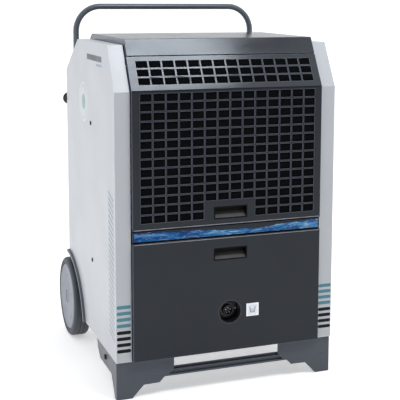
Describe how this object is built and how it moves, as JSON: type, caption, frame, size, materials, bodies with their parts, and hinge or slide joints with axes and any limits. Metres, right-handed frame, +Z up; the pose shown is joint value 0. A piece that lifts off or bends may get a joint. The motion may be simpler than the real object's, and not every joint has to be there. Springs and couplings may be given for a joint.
{
  "type": "portable dehumidifier",
  "caption": "wheeled commercial dehumidifier with folded sheet case, hinged intake panel and lower door, tube handle, foot frame and rear wheels",
  "frame": {"origin": "middle of the footprint on the floor", "axes": "+Z up, the front with the intake panel faces -Y, +X to the right seen from the front; front feet and wheels stand on z = 0"},
  "size_m": [0.622, 0.68, 0.9955],
  "materials": {
    "white_paint": "semi-gloss powder coat",
    "dark_paint": "semi-gloss anthracite powder coat",
    "frame_paint": "semi-gloss anthracite powder coat",
    "handle_paint": "satin powder coat",
    "motor_paint": "black enamel",
    "zinc_sheet": "zinc plated",
    "bright_steel": "bright",
    "fin_aluminium": "thin bright fins",
    "copper": "drawn copper",
    "edge_trim": "matt",
    "guard_wire": "satin black",
    "wave_film": "printed film",
    "tray_plastic": "moulded",
    "tube_rubber": "clear grey",
    "black_plastic": "fine moulded grain",
    "black_rubber": "matt",
    "tank_plastic": "translucent white",
    "float_plastic": "moulded",
    "brushed_plate": "brushed",
    "rocker_plastic": "moulded",
    "filter_foam": "open-cell foam",
    "silver_label": "printed foil",
    "tyre_rubber": "matt",
    "rim_plastic": "moulded",
    "cover_plastic": "moulded, light grey"
  },
  "bodies": {
    "chassis": {"front_foot_frame": "frame_paint", "side_rails": "frame_paint", "rear_crossmember": "frame_paint", "base_pan": "zinc_sheet", "axle_brackets": "frame_paint", "axle": "bright_steel", "axle_clips": "bright_steel", "wheel_wells": "frame_paint", "arch_trims": "edge_trim", "left_side_panel": "white_paint", "right_side_panel": "white_paint", "top_cover": "dark_paint", "rear_panel": "dark_paint", "outlet_guard": "guard_wire", "mid_rail": "dark_paint", "wave_strip": "wave_film", "front_posts": "zinc_sheet", "rear_posts": "zinc_sheet", "deck_plate": "zinc_sheet", "evaporator": "fin_aluminium", "condenser": "fin_aluminium", "drip_tray": "tray_plastic", "drain_tube": "tube_rubber", "fan_shroud": "zinc_sheet", "motor_bracket": "bright_steel", "fan_motor": "motor_paint", "compressor": "motor_paint", "compressor_feet": "black_rubber", "filter_drier": "copper", "copper_pipes": "copper", "water_tank": "tank_plastic", "electrical_box": "zinc_sheet", "control_plate": "brushed_plate", "mains_inlet": "black_plastic", "handle": "handle_paint", "handle_collars": "black_rubber", "handle_clamps": "bright_steel", "rear_buffers": "black_rubber", "panel_screws": "bright_steel", "foot_bolts": "bright_steel", "hinge_rods": "bright_steel", "hinge_brackets": "zinc_sheet"},
    "intake_panel": {"grille_panel": "dark_paint", "grille_pull": "black_plastic", "filter_foam": "filter_foam", "filter_frame": "zinc_sheet"},
    "front_door": {"lower_door": "dark_paint", "door_pull": "black_plastic", "door_connector": "black_plastic", "door_label": "silver_label"},
    "fan": {"fan_impeller": "black_plastic"},
    "knob": {"humidistat_knob": "black_plastic"},
    "rocker": {"rocker_switch": "rocker_plastic"},
    "float": {"float_arm": "float_plastic"},
    "left_wheel": {"left_tyre": "tyre_rubber", "left_rim": "rim_plastic", "left_wheel_cover": "cover_plastic"},
    "right_wheel": {"right_tyre": "tyre_rubber", "right_rim": "rim_plastic", "right_wheel_cover": "cover_plastic"}
  },
  "joints": [
    {"name": "intake_panel_hinge", "type": "hinge", "parent": "chassis", "child": "intake_panel", "pos_m": [0, -0.2898, 0.86176], "axis": [-1, 0, 0], "range_deg": [0, 55]},
    {"name": "front_door_hinge", "type": "hinge", "parent": "chassis", "child": "front_door", "pos_m": [0, -0.3335, 0.1068], "axis": [1, 0, 0], "range_deg": [0, 90]},
    {"name": "fan_spin", "type": "hinge", "parent": "chassis", "child": "fan", "pos_m": [0, -0.0295, 0.612], "axis": [0, 1, 0], "continuous": true},
    {"name": "knob_turn", "type": "hinge", "parent": "chassis", "child": "knob", "pos_m": [-0.18, 0.2335, 0.31], "axis": [0, 1, 0], "range_deg": [-135, 135]},
    {"name": "rocker_tilt", "type": "hinge", "parent": "chassis", "child": "rocker", "pos_m": [-0.1, 0.2235, 0.31], "axis": [1, 0, 0], "range_deg": [0, 8]},
    {"name": "float_lift", "type": "hinge", "parent": "chassis", "child": "float", "pos_m": [0, -0.0895, 0.368], "axis": [-1, 0, 0], "range_deg": [0, 20]},
    {"name": "left_wheel_spin", "type": "hinge", "parent": "chassis", "child": "left_wheel", "pos_m": [-0.286, 0.2225, 0.1175], "axis": [1, 0, 0], "continuous": true},
    {"name": "right_wheel_spin", "type": "hinge", "parent": "chassis", "child": "right_wheel", "pos_m": [0.286, 0.2225, 0.1175], "axis": [1, 0, 0], "continuous": true}
  ]
}
